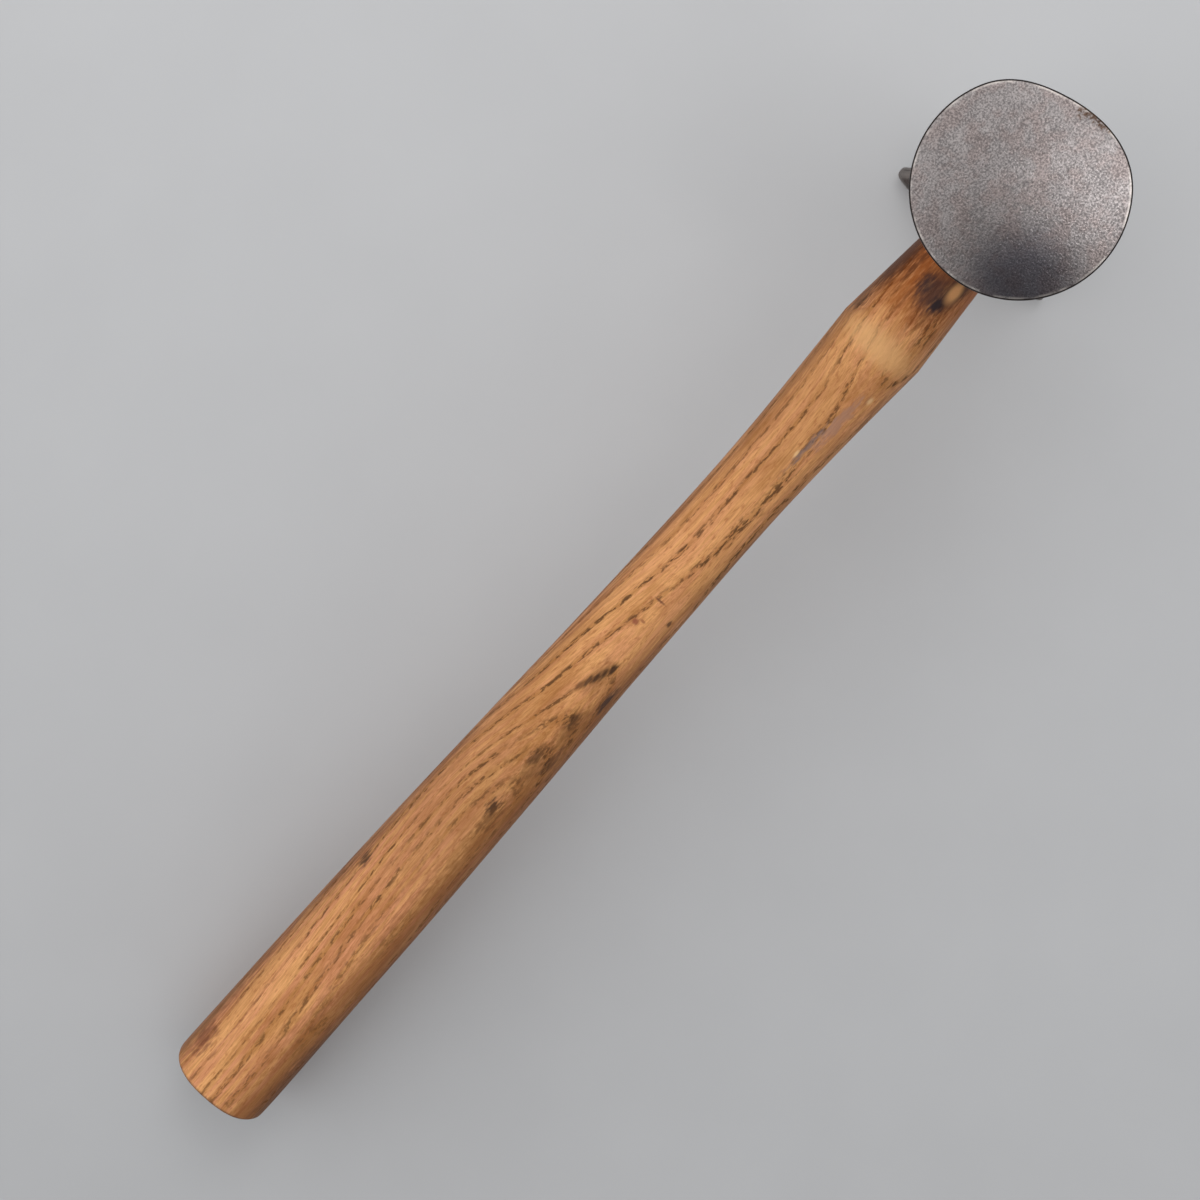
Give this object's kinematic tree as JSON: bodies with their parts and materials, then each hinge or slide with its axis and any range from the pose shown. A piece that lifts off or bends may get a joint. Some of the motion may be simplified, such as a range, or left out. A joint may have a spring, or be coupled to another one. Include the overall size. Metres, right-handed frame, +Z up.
{
  "type": "shoemakers hammer",
  "caption": "Shoemaker's hammer with a broad round domed face, a curved fanned pein and a carved wooden handle wedged in the eye, lying face up on a bench.",
  "frame": {"origin": "middle of the footprint at bench height, with the hammer at rest on its pein edge and the lower edge of its butt", "axes": "+X from the butt towards the head, +Y across the handle, +Z up, on the side of the striking face"},
  "size_m": [0.2822, 0.045, 0.1112],
  "materials": {
    "steel": "dark worn satin",
    "ash": "hand-worn oil",
    "wedge_wood": "raw end grain",
    "wedge_steel": "rusted"
  },
  "bodies": {
    "root": {"hammer_head": "steel", "handle": "ash", "wooden_wedge": "wedge_wood", "steel_wedge": "wedge_steel"}
  },
  "joints": []
}
